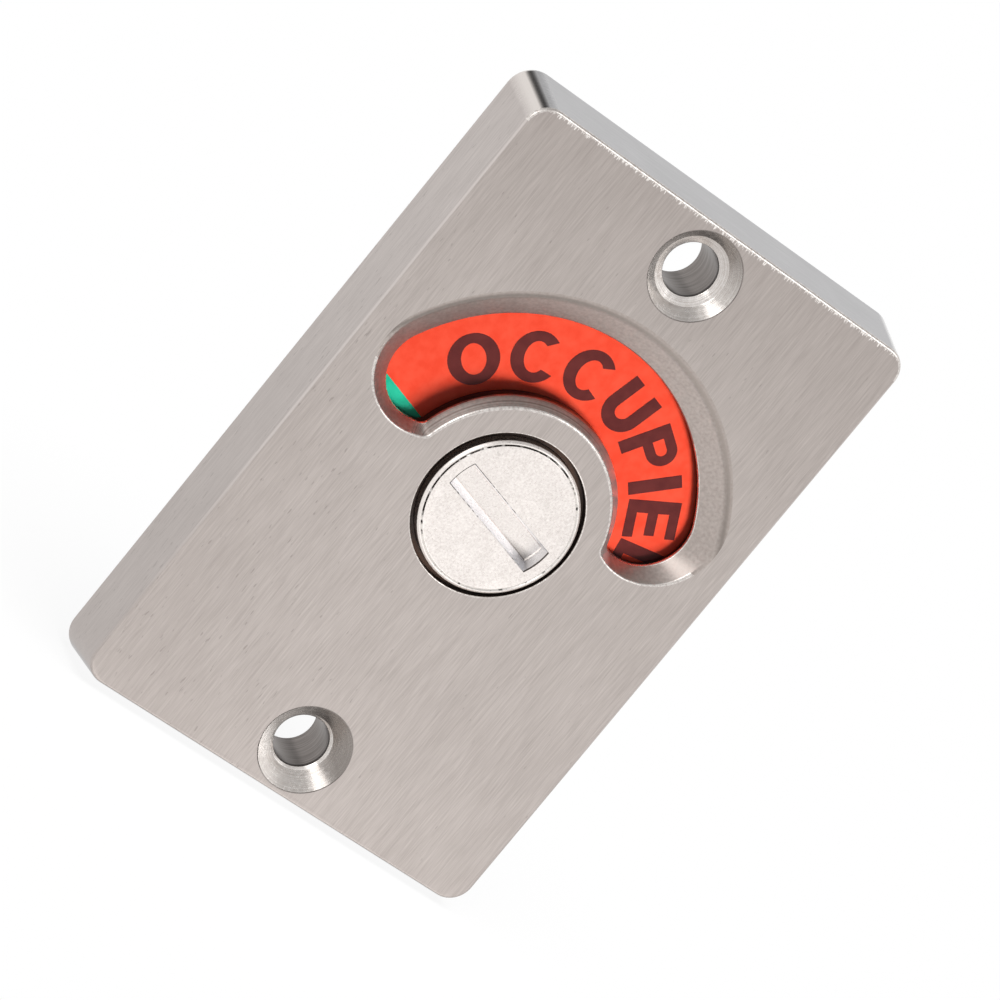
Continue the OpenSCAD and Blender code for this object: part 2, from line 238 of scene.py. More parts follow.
class Nodes:
    """Short names for wiring the nodes of a material or of the world."""

    def __init__(self, owner):
        owner.use_nodes = True
        self.owner = owner
        self.tree = owner.node_tree

    def node(self, kind, settings=(), **inputs):
        made = self.tree.nodes.new("ShaderNode" + kind)
        for key, value in dict(settings).items():
            setattr(made, key, value)
        for key, value in inputs.items():
            self.feed(made.inputs[key.replace("_", " ")], value)
        return made

    def feed(self, socket, value):
        if isinstance(value, bpy.types.NodeSocket):
            self.tree.links.new(value, socket)
        else:
            socket.default_value = value

    def set(self, **inputs):
        shader = self.tree.nodes["Principled BSDF"]
        for key, value in inputs.items():
            self.feed(shader.inputs[key.replace("_", " ")], value)

    def coords(self, output="Object"):
        return self.node("TexCoord").outputs[output]

    def axes(self, vector):
        return self.node("SeparateXYZ", Vector=vector).outputs

    def noise(self, vector, scale, detail=2.0):
        """Noise over coordinates in metres, with a scale for each axis."""
        place = self.node("Mapping", Vector=vector, Scale=scale).outputs["Vector"]
        return self.node("TexNoise", Vector=place, Scale=1.0, Detail=detail).outputs["Fac"]

    def math(self, operation, *values):
        made = self.node("Math", {"operation": operation})
        for socket, value in zip(made.inputs, values):
            self.feed(socket, value)
        return made.outputs[0]

    def span(self, value, low, high, to_low=0.0, to_high=1.0):
        made = self.node("MapRange")
        for socket, item in zip(made.inputs, (value, low, high, to_low, to_high)):
            self.feed(socket, item)
        return made.outputs[0]

    def blend(self, a, b, share):
        """Two grey values, with the given share of the second."""
        return self.math("ADD", self.math("MULTIPLY", a, 1 - share), self.math("MULTIPLY", b, share))

    def mix(self, factor, a, b):
        made = self.node("Mix", {"data_type": "RGBA"})
        self.feed(made.inputs[0], factor)
        self.feed(made.inputs[6], a)
        self.feed(made.inputs[7], b)
        return made.outputs[2]

    def seen(self):
        """1 on rays from the camera, also by way of a gloss or through glass, and 0 on the rest."""
        paths = self.node("LightPath").outputs
        mirrored_or_direct = self.math("MAXIMUM", paths["Is Camera Ray"], paths["Is Glossy Ray"])
        return self.math("MAXIMUM", mirrored_or_direct, paths["Is Transmission Ray"])

    def rings(self, radius, pitch):
        """Irregular rings round an axis, as a cutter leaves them."""
        turns = self.math("MULTIPLY", radius, 1 / pitch)
        made = self.node("TexNoise", {"noise_dimensions": "1D"}, W=turns, Scale=1.0, Detail=2.0)
        return made.outputs["Fac"]

    def along(self, vector, direction):
        """How far a place or direction lies along another direction."""
        made = self.node("VectorMath", {"operation": "DOT_PRODUCT"})
        self.feed(made.inputs[0], vector)
        self.feed(made.inputs[1], direction)
        return made.outputs["Value"]

    def bump(self, height, distance, strength):
        made = self.node("Bump", Height=height, Distance=distance, Strength=strength)
        self.set(Normal=made.outputs["Normal"])


def material(name):
    return Nodes(bpy.data.materials.new(name))


def tone(r, g, b):
    """A colour given as it looks on screen, 0 to 255, in the linear values that shaders take."""
    def linear(c):
        c /= 255.0
        return c / 12.92 if c <= 0.04045 else ((c + 0.055) / 1.055) ** 2.4
    return (linear(r), linear(g), linear(b), 1.0)


class PlateSteel(Nodes):
    """Nodes of the plate's brushed finish, with what its parts share: the place, and which way it faces."""

    def __init__(self, owner):
        super().__init__(owner)
        self.place = self.coords()
        self.spot = self.axes(self.place)
        self.facing = self.axes(self.coords("Normal"))
        self.side = self.math("ABSOLUTE", self.facing["X"])
        self.on_side = self.span(self.side, 0.6, 0.9)
        self.on_end = self.span(self.math("ABSOLUTE", self.facing["Z"]), 0.6, 0.9)
        self.on_face = self.span(self.facing["Y"], -0.95, -0.8, 1.0, 0.0)

    def lines(self, width, length):
        """Brush lines, along the plate and across its two ends."""
        along = self.noise(self.place, (1 / width, 1 / width, 1 / length))
        across = self.noise(self.place, (1 / length, 1 / width, 1 / width))
        made = self.node("Mix", {"data_type": "FLOAT"}, Factor=self.on_end, A=along, B=across)
        return made.outputs[0]

    def brushed(self, streaks):
        """Brush lines and faint clouds, warm on the face; the lighter sides and cool ends are painted light,
        set by which way each faces.
        """
        clouds = self.noise(self.place, (260, 260, 130))
        shade = self.span(self.blend(streaks, clouds, 0.15), 0.28, 0.72)
        warm = self.mix(shade, tone(170, 161, 156), tone(203, 194, 189))
        # Painted light: the sides get a lighter copy and the ends a cooler copy of the same steel
        light = self.mix(shade, tone(174, 166, 162), tone(208, 200, 196))
        cool = self.mix(shade, tone(179, 178, 179), tone(210, 209, 210))
        return self.mix(self.on_end, self.mix(self.on_side, warm, light), cool)

    def painted_shade_and_nicks(self, steel):
        """Painted shade toward the upper end of the face and the lower left corner, with nicks on the left.
        """
        # Painted shade: darker toward the face's upper end and its lower left corner
        high = self.span(self.spot["Z"], 12 * MM, PLATE_H / 2 * MM, 0.0, 0.25)
        upper = self.math("MULTIPLY", self.on_face, high)
        leftward = self.math("ADD", self.spot["X"], self.math("MULTIPLY", self.spot["Z"], 0.4))
        lower_left = self.span(leftward, -31 * MM, -13 * MM, 0.2, 0.0)
        painted_shade_steel = self.mix(self.math("ADD", upper, lower_left), steel, tone(142, 133, 128))
        worn = self.span(leftward, -20 * MM, -5 * MM, 0.06, 0.0)
        nicks = self.math("ADD", self.noise(self.place, (4000, 4000, 900), 1.0), worn)
        return self.mix(self.span(nicks, 0.755, 0.8, 0.0, 0.38), painted_shade_steel, tone(128, 120, 115))

    def edge_highlighted(self, steel):
        """Painted highlight along the rounded edges of the sides, but hardly so at the lower end."""
        on_rounding = self.span(self.math("MULTIPLY", self.side, self.facing["Y"]), -0.45, -0.2, 0.8, 0.0)
        lighter = self.math("MULTIPLY", on_rounding, self.span(self.spot["Z"], -26 * MM, -6 * MM, 0.15, 1.0))
        return self.mix(lighter, steel, tone(212, 204, 200))

    def edge_hair_highlight(self, steel):
        """Bright hairs that the brush left along the upper edge of the face, painted near white as part of
        the edge's highlight.
        """
        edge = PLATE_H / 2 - END_DRAFT - FACE_EDGE
        zone = self.span(self.spot["Z"], (edge - 0.35) * MM, edge * MM)
        uneven = self.noise(self.place, (6500, 6500, 1400), 1.0)
        hairs = self.math("ADD", uneven, self.math("MULTIPLY", zone, 0.22))
        near = self.math("MULTIPLY", self.on_face, self.span(zone, 0.0, 0.1))
        return self.mix(self.math("MULTIPLY", self.span(hairs, 0.64, 0.8), near), steel, tone(248, 243, 238))

    def corner_highlighted(self, steel, smooth):
        """Painted highlight on the upper corners: toward the side on the left, all round on the right."""
        sideways = self.math("ADD", self.facing["X"], self.facing["Z"])
        left = self.math("MULTIPLY", smooth, self.span(sideways, -0.05, 0.2, 0.9, 0.0))
        right = self.span(self.math("MINIMUM", self.facing["X"], self.facing["Z"]), 0.05, 0.35)
        return self.mix(right, self.mix(left, steel, tone(228, 221, 216)), tone(236, 234, 233))


def brushed_steel():
    """Satin stainless, brushed along the plate and across its two ends, smoother round the upper corners; its
    colour also carries painted shade and painted highlights.
    """
    n = PlateSteel(bpy.data.materials.new("brushed_steel"))
    streaks = n.blend(n.lines(0.07 * MM, 2.2 * MM), n.lines(0.2 * MM, 5.0 * MM), 0.4)
    smooth = n.span(n.math("MULTIPLY", n.side, n.facing["Z"]), 0.0, 0.42)
    steel = n.edge_hair_highlight(n.edge_highlighted(n.painted_shade_and_nicks(n.brushed(streaks))))
    n.set(Base_Color=n.corner_highlighted(steel, smooth), Metallic=1.0)
    satin = n.span(streaks, 0.3, 0.7, 0.32, 0.42)
    n.set(Roughness=n.math("SUBTRACT", satin, n.math("MULTIPLY", smooth, 0.27)))
    n.bump(streaks, 0.008 * MM, n.span(smooth, 0.0, 1.0, 0.4, 0.0))
    return n.owner


def highlight_edge():
    """Bright line along the plate's face edge, a painted highlight, ragged where the brush ran over it."""
    n = material("highlight_edge")
    ragged = n.noise(n.coords(), (4200, 4200, 4200))
    n.set(Base_Color=n.mix(n.span(ragged, 0.35, 0.6), tone(198, 190, 185), tone(232, 226, 221)), Metallic=1.0)
    n.set(Roughness=n.span(ragged, 0.3, 0.7, 0.32, 0.24))
    return n.owner


def axis_distance(n, place, centre_z):
    """Distance from an axis through the plate, mirrored above and below its middle."""
    axes = n.axes(place)
    x, z = axes["X"], n.math("SUBTRACT", n.math("ABSOLUTE", axes["Z"]), centre_z)
    squares = n.math("ADD", n.math("MULTIPLY", x, x), n.math("MULTIPLY", z, z))
    return n.math("SQRT", squares)


def sloped_steel():
    """Satin steel of the window's slopes: the inner one milled, with a painted highlight at its right, the
    outer one with a painted shade line along its outer edge."""
    n = material("sloped_steel")
    place = n.coords()
    radius = axis_distance(n, place, 0.0)
    grain = n.noise(place, (3200, 3200, 3200))
    satin = n.mix(n.span(grain, 0.3, 0.7), tone(170, 159, 153), tone(188, 178, 172))
    inner = n.span(radius, (OPENING_IN_R + 0.2) * MM, (OPENING_IN_R + 0.8) * MM, 0.6, 0.0)
    on_left = n.span(n.axes(place)["X"], 2 * MM, 9 * MM, 1.0, 0.0)
    lines = n.span(n.rings(radius, 0.1 * MM), 0.46, 0.6)
    cut = n.mix(n.math("MULTIPLY", lines, n.math("MULTIPLY", inner, on_left)), satin, tone(116, 98, 92))
    # Painted highlight on the right part of the inner slope
    bright = n.math("MULTIPLY", n.span(inner, 0.0, 0.6), n.span(on_left, 0.0, 1.0, 0.9, 0.0))
    steel = n.mix(bright, cut, tone(240, 232, 228))
    # Painted shade: a dark line along the outer slope's edge
    rise = n.span(radius, (WINDOW_R - 0.5) * MM, (WINDOW_R - 0.1) * MM)
    fall = n.span(radius, (WINDOW_R + 0.05) * MM, (WINDOW_R + 0.4) * MM, 0.75, 0.0)
    edge = n.math("MULTIPLY", rise, fall)
    n.set(Base_Color=n.mix(edge, steel, tone(120, 112, 106)), Metallic=0.9)
    n.set(Roughness=n.span(grain, 0.3, 0.7, 0.3, 0.38))
    n.bump(grain, 0.006 * MM, 0.1)
    return n.owner


def shaded_bore_steel(name, dark, light):
    """Wall of a bore, with the fine rings of the drill down its depth, in dark tones that are painted shade.
    """
    n = material(name)
    rings = n.noise(n.coords(), (250, 7000, 250))
    n.set(Base_Color=n.mix(n.span(rings, 0.3, 0.7), dark, light), Metallic=0.9)
    n.set(Roughness=n.span(rings, 0.3, 0.7, 0.28, 0.38))
    n.bump(rings, 0.01 * MM, 0.3)
    return n.owner


def cut_steel(n, centre_z, pitch, dark, light, rough, bump):
    """Machined steel with the rings that a cutter leaves round its own axis; gives back its colour."""
    place = n.coords()
    grain = n.noise(place, (2500, 2500, 2500))
    marks = n.blend(n.rings(axis_distance(n, place, centre_z), pitch), grain, 0.45)
    n.set(Roughness=n.span(grain, 0.3, 0.7, rough - 0.05, rough + 0.08))
    n.bump(marks, 0.02 * MM, bump)
    return n.mix(n.span(marks, 0.35, 0.65), dark, light)


def shaded_milled_steel():
    """Bottom of the pocket and the rebate behind the plate, in dark tones that paint the shade in these
    hollows.
    """
    n = material("shaded_milled_steel")
    cut = cut_steel(n, 0.0, 0.3 * MM, tone(120, 117, 114), tone(140, 137, 134), rough=0.36, bump=0.3)
    n.set(Base_Color=cut, Metallic=1.0)
    return n.owner


def sunk_steel(name, pitch, dark, light, rough, bump, painted_shade, lean=0.0, fresh=0.0):
    """Countersink, darkened toward its top by painted shade and fresher, so less like a mirror, at its foot;
    a lean turns the painted shade toward the right and the fresh part toward the left."""
    n = material(name)
    cut = cut_steel(n, FIXING_Z * MM, pitch, dark, light, rough, bump)
    axes = n.axes(n.coords())
    reach = n.math("SUBTRACT", axes["Z"], n.math("MULTIPLY", n.math("SIGN", axes["Z"]), FIXING_Z * MM))
    if lean:
        reach = n.math("ADD", reach, n.math("MULTIPLY", axes["X"], lean))
    # Painted shade toward the top of the countersink, turned to the right by the lean
    top_shade = n.span(reach, -1.5 * MM, 3.5 * MM, 0.0, painted_shade)
    n.set(Base_Color=n.mix(top_shade, cut, tone(112, 103, 97)), Metallic=SUNK_METAL)
    if fresh:
        n.set(Metallic=n.span(reach, -5.0 * MM, -2.5 * MM, SUNK_METAL - fresh, SUNK_METAL))
    return n.owner


def nickel(name, fade=0.0):
    """Bright nickel over a fine grainy casting; fade is how dark the painted shade gets in the slot's lower
    right corner.
    """
    n = material(name)
    place = n.coords()
    grain = n.noise(place, (5200, 5200, 5200), 3.0)
    cloud = n.noise(place, (420, 420, 420))
    pits = n.noise(place, (2100, 2100, 2100), 1.0)
    shade = n.span(n.blend(grain, cloud, 0.25), 0.35, 0.65)
    bright = n.mix(shade, tone(231, 223, 218), tone(251, 244, 239))
    colour = n.mix(n.span(pits, 0.72, 0.8, 0.0, 0.3), bright, tone(170, 162, 155))
    if fade:
        # Painted shade toward the slot's lower right corner
        corner = Vector(polar(1.0, -SLOT_ANGLE)) - 4.0 * Vector(polar(1.0, 90 - SLOT_ANGLE))
        reach = n.along(place, (corner.x, 0.0, corner.y))
        painted_shade = n.span(reach, 0.8 * SLOT_R * MM, 1.4 * SLOT_R * MM, 0.0, fade)
        colour = n.mix(painted_shade, colour, tone(120, 114, 110))
    n.set(Base_Color=colour, Metallic=1.0)
    n.set(Roughness=n.span(grain, 0.3, 0.7, 0.24, 0.4))
    n.bump(grain, 0.02 * MM, 0.3)
    return n.owner


def shaded_score_nickel():
    """Fine scored line, broken along its length, darkened by painted shade to nearly black toward the upper
    left of the plate.
    """
    n = material("shaded_score_nickel")
    place = n.coords()
    spot = n.axes(place)
    dark = n.span(n.math("SUBTRACT", spot["Z"], spot["X"]), -2.0 * MM, 7.0 * MM, -0.12, 0.14)
    breaks = n.math("ADD", n.noise(place, (1700, 1700, 1700)), dark)
    n.set(Base_Color=n.mix(n.span(breaks, 0.46, 0.6), tone(232, 228, 224), tone(58, 52, 48)), Metallic=1.0)
    n.set(Roughness=n.span(breaks, 0.3, 0.7, 0.3, 0.4))
    return n.owner


def film(name, colour, shade):
    """Matte printed film with a slight mottle."""
    n = material(name)
    mottle = n.noise(n.coords(), (900, 900, 900), 4.0)
    fibre = n.noise(n.coords(), (4000, 4000, 4000))
    n.set(Base_Color=n.mix(n.span(mottle, 0.35, 0.65), shade, colour), Roughness=0.6)
    n.set(Specular_IOR_Level=0.3)
    n.bump(fibre, 0.008 * MM, 0.3)
    return n.owner


def plastic(name, colour, shade):
    """Moulded plastic with a fine grain."""
    n = material(name)
    grain = n.noise(n.coords(), (3000, 3000, 3000))
    n.set(Base_Color=n.mix(grain, shade, colour), Roughness=n.span(grain, 0.3, 0.7, 0.4, 0.55))
    n.bump(grain, 0.01 * MM, 0.3)
    return n.owner


def plain_metal(name, colour, shade, rough):
    """Rolled or plated metal with faint clouds and grain."""
    n = material(name)
    place = n.coords()
    cloud = n.noise(place, (160, 160, 160), 4.0)
    grain = n.noise(place, (3500, 3500, 700))
    n.set(Base_Color=n.mix(n.span(cloud, 0.3, 0.7), shade, colour), Metallic=1.0)
    n.set(Roughness=n.span(grain, 0.3, 0.7, rough - 0.06, rough + 0.08))
    n.bump(grain, 0.012 * MM, 0.3)
    return n.owner


BRUSHED = brushed_steel()
EDGE = highlight_edge()
SLOPE = sloped_steel()
SUNK_METAL = 0.75
SUNK = sunk_steel("sunk_steel", 0.1 * MM, tone(220, 212, 206), tone(250, 244, 239),
                  rough=0.22, bump=0.3, painted_shade=0.72, fresh=0.3)
SHADED_SUNK = sunk_steel("shaded_sunk_steel", 0.1 * MM, tone(220, 212, 206), tone(250, 244, 239),
                     rough=0.22, bump=0.3, painted_shade=0.76, lean=0.9, fresh=0.5)
LIP = sunk_steel("lip_steel", 0.12 * MM, tone(226, 218, 212), tone(252, 247, 243),
                 rough=0.18, bump=0.2, painted_shade=0.5)
# Dark steels for bores, the window's land and the dark lines: painted shade in these recesses
DEEP_SHADE = shaded_bore_steel("shaded_bore_steel", tone(56, 50, 47), tone(88, 81, 78))
BORE_SHADE = shaded_bore_steel("bore_shade_steel", tone(106, 99, 95), tone(148, 141, 137))
MILLED = shaded_milled_steel()
NICKEL = nickel("nickel")
SLOT_FLOOR = nickel("slot_nickel", fade=0.75)
GROOVE = shaded_score_nickel()
SLOT_WALL = plain_metal("slot_wall_nickel", tone(246, 247, 250), tone(230, 231, 234), 0.3)
# Dark nickel for the slot's right end and the socket: painted shade
SHADE_NICKEL = plain_metal("shade_dark_nickel", tone(104, 97, 92), tone(56, 50, 47), 0.3)
RED = film("red_film", tone(250, 86, 60), tone(244, 74, 48))
GREEN = film("green_film", tone(46, 199, 160), tone(37, 187, 148))
# Dark print that lets a little of each label through
INK = film("dark_ink", tone(97, 39, 37), tone(85, 31, 30))
GREEN_INK = film("dark_green_ink", tone(30, 66, 56), tone(22, 55, 46))
BLACK = plastic("black_acetal", tone(74, 52, 40), tone(54, 38, 29))
WHITE = plastic("white_acetal", tone(230, 229, 222), tone(220, 218, 210))
ALUMINIUM = plain_metal("rolled_aluminium", tone(214, 215, 217), tone(200, 201, 204), 0.34)
ZINC = plain_metal("zinc_plate", tone(196, 200, 206), tone(172, 176, 184), 0.32)
SCREW_ZINC = plain_metal("screw_zinc", tone(222, 221, 216), tone(198, 197, 192), 0.24)
SPRING = plain_metal("spring_steel", tone(128, 126, 126), tone(104, 102, 102), 0.3)

CAD_FINISH = {
    "bearing_bush": BLACK, "rear_bush": BLACK, "thrust_washer": WHITE,
    "indicator_disc": ALUMINIUM, "engaged_label": RED, "vacant_label": GREEN,
    "stop_cam": ZINC, "back_cover": ZINC, "retaining_clip": SPRING, "wave_washer": SPRING, "stop_pin": SPRING,
    "cover_screw_1": SCREW_ZINC, "cover_screw_2": SCREW_ZINC,
    "cover_screw_3": SCREW_ZINC, "cover_screw_4": SCREW_ZINC,
}
for node_name, finish in CAD_FINISH.items():
    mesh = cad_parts[node_name].data
    mesh.materials.clear()
    mesh.materials.append(finish)


# Face plate

CORNER_STEPS = 14
HOLE_STEPS = 120
SCREW_STEPS = 32
SOFT_STEPS = 4
# Steps and rings of an eased corner in a turned profile, and the flat lead-in before its first corner
EASE_STEPS = 3
EASED = EASE_STEPS + 1
LEAD = 0.3
BORE_EDGE = 0.14
SINK_EDGE = 0.06
# Countersinks as radius and depth of their steps: the upper one is cut in two, the lower one has a small lip
UPPER_SINK = ((3.55, 1.2), (FIXING_R, 1.7))
LOWER_SINK = ((3.0, 1.7), (FIXING_R, 1.92))
# Depth of the painted shade line at the top of a fixing hole's bore
DARK_LINE = 0.4
(BRUSHED_LOOK, EDGE_LOOK, SLOPE_LOOK, SUNK_LOOK, SHADED_SUNK_LOOK, LIP_LOOK, DEEP_SHADE_LOOK, BORE_SHADE_LOOK,
 MILLED_LOOK) = range(9)
# Angle of the window's round ends, how far they swell and their fillet, at the face and at the opening
WINDOW_END = (30.5, 0.725, 0.9)
OPENING_END = (28.5, 0.625, 0.9)
# Steps along half the window's outline, and how soft its edge at the face is from step to step
OUTER_STEPS, END_STEPS, FILLET_STEPS, INNER_STEPS = 60, 56, 12, 48
WINDOW_EDGE = ((0, 0.4), (60, 0.4), (95, 0.14), (118, 0.14), (132, 0.2), (176, 0.2))
EDGE_RINGS = 7
# The window's edge carries a painted highlight from this step on, along the ends and the inner arc
HIGHLIGHT_FROM = 80
# The opening's edge carries a painted highlight along these steps from the top, on the right and on the left
BRIGHT_RIGHT = range(36, 129)
BRIGHT_LEFT = range(85, 129)
OPENING_EDGE = 0.18
OPENING_EDGE_STEPS = 5


def half_window(r_out, r_in, end_angle, swell, fillet):
    """Right half of a window outline, clockwise from its top."""
    end_r = (r_out - r_in) / 2 + swell
    end_place = r_out - end_r
    end = polar(end_place, end_angle)
    fillet_place = r_in + fillet
    reach = end_r - fillet
    lean = math.acos((fillet_place ** 2 + end_place ** 2 - reach ** 2) / (2 * fillet_place * end_place))
    fillet_angle = end_angle - math.degrees(lean)
    corner = polar(fillet_place, fillet_angle)
    meet = math.degrees(math.atan2(corner[1] - end[1], corner[0] - end[0]))
    return (arc((0, 0), r_out, 90, end_angle, OUTER_STEPS)
            + arc(end, end_r, end_angle, meet, END_STEPS)[1:]
            + arc(corner, fillet, meet, fillet_angle - 180, FILLET_STEPS)[1:]
            + arc((0, 0), r_in, fillet_angle, 90, INNER_STEPS)[1:])


def mirrored(half):
    return half + [(-x, y) for x, y in half[-2:0:-1]]


def edge_softness(step):
    for (a, soft_a), (b, soft_b) in zip(WINDOW_EDGE, WINDOW_EDGE[1:]):
        if step <= b:
            return soft_a + (soft_b - soft_a) * (step - a) / (b - a)
    return WINDOW_EDGE[-1][1]


def lip_depth(point):
    """Depth of the slope's lower edge at a point of the opening; it rises toward the inner arc."""
    near = max(0.0, 1.0 - (Vector(point).length - OPENING_IN_R) / LAND_RUN)
    return SLOPE_DEPTH + (INNER_DEPTH - SLOPE_DEPTH) * near


def window_rings():
    """Rings from the face down through the window: a soft edge, the slope, a finer edge and the land."""
    face = mirrored(half_window(WINDOW_R, WINDOW_IN_R, *WINDOW_END))
    opening = mirrored(half_window(OPENING_R, OPENING_IN_R, *OPENING_END))
    down = Vector((0.0, 0.0, -1.0))
    columns = []
    for i, (f, o) in enumerate(zip(face, opening)):
        soft = edge_softness(min(i, len(face) - i))
        top = Vector((f[0], f[1], PLATE_T))
        lip = Vector((o[0], o[1], PLATE_T - lip_depth(o)))
        level = Vector((o[0] - f[0], o[1] - f[1], 0.0)).normalized()
        slope = (lip - top).normalized()
        columns.append(bend(top - level * soft, top, top + slope * soft, EDGE_RINGS - 1)
                       + bend(lip - slope * OPENING_EDGE, lip, lip + down * OPENING_EDGE, OPENING_EDGE_STEPS)
                       + [Vector((o[0], o[1], WALL_Z))])
    return [[tuple(c[k]) for c in columns] for k in range(len(columns[0]))]


def hole_rings(profile, centre=(0.0, 0.0), steps=HOLE_STEPS):
    """Rings of a round hole or shaft from its profile of radius and height."""
    return [at_height(circle(r, steps, centre), z) for r, z in profile]


def softened(profile, soft):
    """A profile of radius and height with each inner corner eased over a short length."""
    points = [Vector(p) for p in profile]
    eased = [points[0]]
    for before, here, after in zip(points, points[1:], points[2:]):
        a = here + (before - here).normalized() * min(soft, (before - here).length / 2)
        b = here + (after - here).normalized() * min(soft, (after - here).length / 2)
        eased += bend(a, here, b, EASE_STEPS)
    return [tuple(p) for p in eased + [points[-1]]]


def outer_rings():
    """Rings from the back face up the drafted sides to the face."""
    def ring(z, side, end, r):
        return at_height(round_rect(PLATE_W / 2 - side, PLATE_H / 2 - end, r, CORNER_STEPS), z)

    rings = []
    for k in range(SOFT_STEPS + 1):
        a = math.pi / 2 * k / SOFT_STEPS
        inset = BACK_EDGE * (1 - math.sin(a))
        rings.append(ring(BACK_EDGE * (1 - math.cos(a)), inset, inset, CORNER_R - inset))
    rings.append(ring(FOOT_H, 0.0, 0.0, CORNER_R))
    for k in range(SOFT_STEPS + 1):
        a = math.pi / 2 * k / SOFT_STEPS
        inset = FACE_EDGE * (1 - math.cos(a))
        z = PLATE_T - FACE_EDGE * (1 - math.sin(a))
        rings.append(ring(z, SIDE_DRAFT + inset, END_DRAFT + inset, FACE_CORNER_R - inset))
    return rings


def face_edge_looks():
    """Painted highlight along the upper end and its corners, plain along the rest."""
    upper = 2 * CORNER_STEPS + 1
    return [EDGE_LOOK] * upper + [BRUSHED_LOOK] * (upper + 2)


def window_edge_looks(count):
    """Painted highlight along the ends and the inner arc, plain along the outer arc."""
    return [EDGE_LOOK if min(i, count - i) >= HIGHLIGHT_FROM else SLOPE_LOOK for i in range(count)]


def opening_edge_looks(count):
    """Painted highlight along the lower right of the opening and its left end, plain along the rest."""
    return [EDGE_LOOK if i in BRIGHT_RIGHT or count - i in BRIGHT_LEFT else SLOPE_LOOK for i in range(count)]


def fixing_hole(shell, y, sink, look):
    """Painted shade outline, countersink of two slopes, a painted shade line and the bore in painted shade;
    gives back its rings.
    """
    slopes = [(r, PLATE_T - depth) for r, depth in sink]
    profile = ([(COUNTERSINK_R + LEAD, PLATE_T), (COUNTERSINK_R, PLATE_T)] + slopes
               + [(FIXING_R, slopes[-1][1] - DARK_LINE), (FIXING_R, 0.0)])
    rings = hole_rings(softened(profile, SINK_EDGE)[1:], (0.0, y))
    shell.strip(rings[:EASED], BORE_SHADE_LOOK)
    shell.strip(rings[EASED - 1:EASED + 2], look)
    shell.strip(rings[EASED + 1:2 * EASED + 2], LIP_LOOK)
    shell.strip(rings[2 * EASED + 1:3 * EASED + 2], DEEP_SHADE_LOOK)
    shell.strip(rings[3 * EASED + 1:], BORE_SHADE_LOOK)
    return rings


def face_plate():
    shell = Shell()
    outside = outer_rings()
    window = window_rings()
    bore_profile = [(BORE_R + LEAD, PLATE_T), (BORE_R, PLATE_T), (BORE_R, WALL_Z)]
    bore = hole_rings(softened(bore_profile, BORE_EDGE)[1:])
    upper = fixing_hole(shell, FIXING_Z, UPPER_SINK, SUNK_LOOK)
    lower = fixing_hole(shell, -FIXING_Z, LOWER_SINK, SHADED_SUNK_LOOK)
    pocket = hole_rings([(POCKET_R, WALL_Z), (POCKET_R, LEDGE_Z)])
    rebate_outline = round_rect(REBATE_HALF, REBATE_HALF, REBATE_R, CORNER_STEPS)
    rebate = [at_height(rebate_outline, z) for z in (LEDGE_Z, 0.0)]
    screws = []
    for x, y in ((1, 1), (-1, 1), (-1, -1), (1, -1)):
        profile = [(COVER_SCREW_R, LEDGE_Z), (COVER_SCREW_R, COVER_SCREW_TOP)]
        screws.append(hole_rings(profile, (x * COVER_SCREW, y * COVER_SCREW), SCREW_STEPS))
    shell.strip(outside[:-SOFT_STEPS], BRUSHED_LOOK)
    shell.strip(outside[-SOFT_STEPS - 1:], face_edge_looks())
    shell.cap([outside[-1], window[0], bore[0], upper[0], lower[0]], BRUSHED_LOOK)
    shell.strip(window[:EDGE_RINGS], window_edge_looks(len(window[0])))
    shell.strip(window[EDGE_RINGS - 1:EDGE_RINGS + 1], SLOPE_LOOK)
    shell.strip(window[EDGE_RINGS:-1], opening_edge_looks(len(window[0])))
    # The land under the opening is painted dark as shade
    shell.strip(window[-2:], DEEP_SHADE_LOOK)
    # Painted highlight round the edge of the turn's bore
    shell.strip(bore[:-1], EDGE_LOOK)
    # The bore's wall is painted dark as shade
    shell.strip(bore[-2:], DEEP_SHADE_LOOK)
    shell.cap([pocket[0], window[-1], bore[-1]], MILLED_LOOK)
    shell.strip(pocket, MILLED_LOOK)
    shell.cap([rebate[0], pocket[1]] + [rings[0] for rings in screws], MILLED_LOOK)
    for rings in screws:
        shell.strip(rings, DEEP_SHADE_LOOK)
        shell.cap([rings[1]], DEEP_SHADE_LOOK)
    shell.strip(rebate, MILLED_LOOK)
    shell.cap([outside[0], rebate[1], upper[-1], lower[-1]], BRUSHED_LOOK)
    looks = [BRUSHED, EDGE, SLOPE, SUNK, SHADED_SUNK, LIP, DEEP_SHADE, BORE_SHADE, MILLED]
    plate = shell.build("face_plate_finished", looks)
    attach(plate, "housing")
    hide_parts("face_plate")


# Coin turn

SLOT_END_STEPS = 10
NICKEL_LOOK, FLOOR_LOOK, GROOVE_LOOK, SHADE_NICKEL_LOOK, WALL_LOOK = range(5)
RIM_EASE = 0.05
JOURNAL_EASE = 0.04
# Width of the flat ring on the journal's back, out to its edge
BACK_RING = 0.5
TURN_SHARP = 25.0


def turned(points, degrees):
    """Points turned clockwise, as the turn stands at rest."""
    a = math.radians(degrees)
    c, s = math.cos(a), -math.sin(a)
    return [(x * c - y * s, x * s + y * c) for x, y in points]


def slot_outline(half, r):
    """Bar with ends that follow the turn's rim, anticlockwise."""
    tip = math.degrees(math.asin(half / r))
    right_end = arc((0, 0), r, -tip, tip, SLOT_END_STEPS)
    left_end = arc((0, 0), r, 180 - tip, 180 + tip, SLOT_END_STEPS)
    return turned(right_end + left_end, SLOT_ANGLE)


def square_outline(half):
    return turned([(half, -half), (half, half), (-half, half), (-half, -half)], REST_ANGLE)


